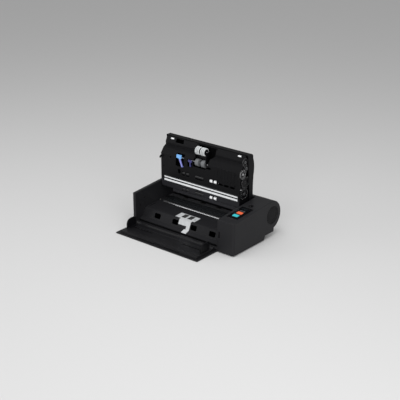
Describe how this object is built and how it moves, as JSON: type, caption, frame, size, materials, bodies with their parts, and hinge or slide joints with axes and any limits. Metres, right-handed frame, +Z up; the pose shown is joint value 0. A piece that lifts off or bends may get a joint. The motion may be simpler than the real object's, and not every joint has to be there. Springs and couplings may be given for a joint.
{
  "type": "document scanner",
  "caption": "Sheet-fed duplex document scanner with a hinged upper unit, fold-down feed tray, round back, and an angled control strip on its right housing.",
  "frame": {"origin": "middle of the open machine's outline on the table, below the centre of its width", "axes": "+X towards the control housing, +Y towards the round back, +Z up; the feed tray reaches out along -Y"},
  "size_m": [0.424, 0.3465, 0.277],
  "materials": {
    "housing_plastic": "satin",
    "guide_plastic": "satin",
    "tray_plastic": "satin",
    "white_plastic": "satin",
    "panel_plastic": "satin",
    "key_cyan": "satin",
    "key_orange": "satin",
    "key_grey": "satin",
    "display_window": "polished",
    "blue_plastic": "satin",
    "violet_plastic": "satin",
    "latch_plate": "satin",
    "gear_plastic": "satin",
    "roller_rubber": "matte",
    "dark_rubber": "matte",
    "steel": "satin",
    "bush_plastic": "satin",
    "scan_glass": "polished",
    "scan_bar": "satin",
    "board_green": "satin"
  },
  "bodies": {
    "base": {"left_cover": "housing_plastic", "right_cover": "housing_plastic", "side_frames": "guide_plastic", "rear_cover": "housing_plastic", "base_pan": "guide_plastic", "rubber_feet": "dark_rubber", "lower_bed": "guide_plastic", "lower_scan_bar": "scan_bar", "lower_glass": "scan_glass", "separation_cover": "white_plastic", "retard_holder": "gear_plastic", "turn_guide": "guide_plastic", "shaft_bushes": "bush_plastic", "drive_motor": "steel", "drive_belt": "dark_rubber", "circuit_board": "board_green", "port_bay": "panel_plastic", "control_panel": "panel_plastic", "display": "display_window", "key_carrier": "gear_plastic", "side_cap": "housing_plastic", "hinge_pins": "steel"},
    "upper_unit": {"top_cover": "housing_plastic", "inner_guide": "guide_plastic", "end_frames": "guide_plastic", "upper_scan_bar": "scan_bar", "upper_glass": "scan_glass", "white_strips": "white_plastic", "latch_strikers": "latch_plate"},
    "feed_tray": {"tray_panel": "tray_plastic", "tray_insert": "tray_plastic"},
    "tray_extension": {"tray_extension": "tray_plastic"},
    "guide_left": {"guide_left": "tray_plastic"},
    "guide_right": {"guide_right": "tray_plastic"},
    "guide_pinion": {"guide_pinion": "gear_plastic"},
    "pickup_arm": {"pickup_arm": "gear_plastic"},
    "pickup_rollers": {"pickup_rollers": "roller_rubber"},
    "feed_roller": {"feed_shaft": "steel", "feed_tyres": "roller_rubber", "feed_gear": "gear_plastic"},
    "step_gear": {"step_gear": "gear_plastic"},
    "clutch_gear": {"clutch_gear": "gear_plastic"},
    "link_gear": {"link_gear": "gear_plastic"},
    "transfer_gear": {"transfer_gear": "gear_plastic"},
    "idler_front": {"idler_front": "white_plastic"},
    "idler_rear": {"idler_rear": "white_plastic"},
    "blue_lever": {"blue_lever": "blue_plastic"},
    "small_lever": {"small_lever": "violet_plastic"},
    "front_roller": {"front_drive_roller": "steel"},
    "rear_roller": {"rear_drive_shaft": "steel", "rear_drive_tyres": "dark_rubber"},
    "turn_roller": {"turn_rollers": "dark_rubber"},
    "motor_rotor": {"motor_pulley": "gear_plastic"},
    "retard_roller": {"retard_rollers": "dark_rubber"},
    "start_key": {"start_key": "key_cyan"},
    "stop_key": {"stop_key": "key_orange"},
    "left_small_key": {"left_small_key": "key_grey"},
    "right_small_key": {"right_small_key": "key_grey"},
    "release_button": {"release_button": "panel_plastic"}
  },
  "joints": [
    {"name": "upper_unit_hinge", "type": "hinge", "parent": "base", "child": "upper_unit", "pos_m": [0, 0.10225, 0.11], "axis": [1, 0, 0], "range_deg": [0, 93]},
    {"name": "feed_tray_hinge", "type": "hinge", "parent": "base", "child": "feed_tray", "pos_m": [0, -0.06925, 0.0065], "axis": [-1, 0, 0], "range_deg": [0, 90]},
    {"name": "tray_extension_slide", "type": "slide", "parent": "feed_tray", "child": "tray_extension", "axis": [0, -1, 0], "range_m": [0, 0.038]},
    {"name": "guide_left_slide", "type": "slide", "parent": "feed_tray", "child": "guide_left", "axis": [1, 0, 0], "range_m": [0, 0.09]},
    {"name": "guide_right_slide", "type": "slide", "parent": "feed_tray", "child": "guide_right", "axis": [1, 0, 0], "range_m": [-0.09, 0]},
    {"name": "guide_pinion_spin", "type": "hinge", "parent": "feed_tray", "child": "guide_pinion", "pos_m": [-0.0265, -0.11575, 0.0041], "axis": [0, 0, 1], "range_deg": [0, 650]},
    {"name": "feed_spin", "type": "hinge", "parent": "upper_unit", "child": "feed_roller", "pos_m": [0, 0.06105, 0.217], "axis": [1, 0, 0], "continuous": true},
    {"name": "pickup_arm_pivot", "type": "hinge", "parent": "upper_unit", "child": "pickup_arm", "pos_m": [0, 0.06105, 0.217], "axis": [1, 0, 0], "range_deg": [0, 8]},
    {"name": "pickup_spin", "type": "hinge", "parent": "pickup_arm", "child": "pickup_rollers", "pos_m": [0, 0.06205, 0.258], "axis": [1, 0, 0], "continuous": true},
    {"name": "step_gear_spin", "type": "hinge", "parent": "upper_unit", "child": "step_gear", "pos_m": [0, 0.0771, 0.23485], "axis": [1, 0, 0], "continuous": true},
    {"name": "clutch_gear_spin", "type": "hinge", "parent": "upper_unit", "child": "clutch_gear", "pos_m": [0, 0.07105, 0.256], "axis": [1, 0, 0], "continuous": true},
    {"name": "link_gear_spin", "type": "hinge", "parent": "upper_unit", "child": "link_gear", "pos_m": [0, 0.07396, 0.18663], "axis": [1, 0, 0], "continuous": true},
    {"name": "transfer_gear_spin", "type": "hinge", "parent": "upper_unit", "child": "transfer_gear", "pos_m": [0, 0.06875, 0.15], "axis": [1, 0, 0], "continuous": true},
    {"name": "idler_front_spin", "type": "hinge", "parent": "upper_unit", "child": "idler_front", "pos_m": [0, 0.05425, 0.169], "axis": [1, 0, 0], "continuous": true},
    {"name": "idler_rear_spin", "type": "hinge", "parent": "upper_unit", "child": "idler_rear", "pos_m": [0, 0.05425, 0.112], "axis": [1, 0, 0], "continuous": true},
    {"name": "blue_lever_turn", "type": "hinge", "parent": "upper_unit", "child": "blue_lever", "pos_m": [-0.1025, 0.05225, 0.185], "axis": [0, 1, 0], "range_deg": [-5, 5]},
    {"name": "small_lever_turn", "type": "hinge", "parent": "upper_unit", "child": "small_lever", "pos_m": [-0.0675, 0.05225, 0.194], "axis": [0, 1, 0], "range_deg": [-5, 5]},
    {"name": "front_roller_spin", "type": "hinge", "parent": "base", "child": "front_roller", "pos_m": [0, 0.0465, 0.04639], "axis": [1, 0, 0], "continuous": true},
    {"name": "rear_roller_spin", "type": "hinge", "parent": "base", "child": "rear_roller", "pos_m": [0, 0.10348, 0.04838], "axis": [1, 0, 0], "continuous": true},
    {"name": "turn_roller_spin", "type": "hinge", "parent": "base", "child": "turn_roller", "pos_m": [0, 0.13825, 0.082], "axis": [1, 0, 0], "continuous": true},
    {"name": "motor_rotor_spin", "type": "hinge", "parent": "base", "child": "motor_rotor", "pos_m": [0, -0.01575, 0.043], "axis": [1, 0, 0], "continuous": true},
    {"name": "retard_roller_spin", "type": "hinge", "parent": "base", "child": "retard_roller", "pos_m": [0, -0.00129, 0.04119], "axis": [1, 0, 0], "continuous": true},
    {"name": "start_key_press", "type": "slide", "parent": "base", "child": "start_key", "axis": [0, 0.0755, -0.9971], "range_m": [0, 0.0008], "stiffness_N_per_m": 500, "springref_m": -0.0004},
    {"name": "stop_key_press", "type": "slide", "parent": "base", "child": "stop_key", "axis": [0, 0.0755, -0.9971], "range_m": [0, 0.0008], "stiffness_N_per_m": 500, "springref_m": -0.0004},
    {"name": "left_small_key_press", "type": "slide", "parent": "base", "child": "left_small_key", "axis": [0, 0.0755, -0.9971], "range_m": [0, 0.0008], "stiffness_N_per_m": 500, "springref_m": -0.0004},
    {"name": "right_small_key_press", "type": "slide", "parent": "base", "child": "right_small_key", "axis": [0, 0.0755, -0.9971], "range_m": [0, 0.0008], "stiffness_N_per_m": 500, "springref_m": -0.0004},
    {"name": "release_button_press", "type": "slide", "parent": "base", "child": "release_button", "axis": [0, 0.0755, -0.9971], "range_m": [0, 0.0025], "stiffness_N_per_m": 600, "springref_m": -0.0005}
  ],
  "couplings": [
    {"joint": "guide_right_slide", "follows": "guide_left_slide", "ratio": -1},
    {"joint": "guide_pinion_spin", "follows": "guide_left_slide", "rad_per_m": 125},
    {"joint": "pickup_spin", "follows": "feed_spin", "ratio": 1},
    {"joint": "step_gear_spin", "follows": "feed_spin", "ratio": -1.4},
    {"joint": "clutch_gear_spin", "follows": "feed_spin", "ratio": 1.1667},
    {"joint": "link_gear_spin", "follows": "feed_spin", "ratio": -0.73684},
    {"joint": "transfer_gear_spin", "follows": "feed_spin", "ratio": 0.77778},
    {"joint": "rear_roller_spin", "follows": "front_roller_spin", "ratio": 1},
    {"joint": "turn_roller_spin", "follows": "front_roller_spin", "ratio": 0.75},
    {"joint": "motor_rotor_spin", "follows": "front_roller_spin", "ratio": 1.8}
  ]
}
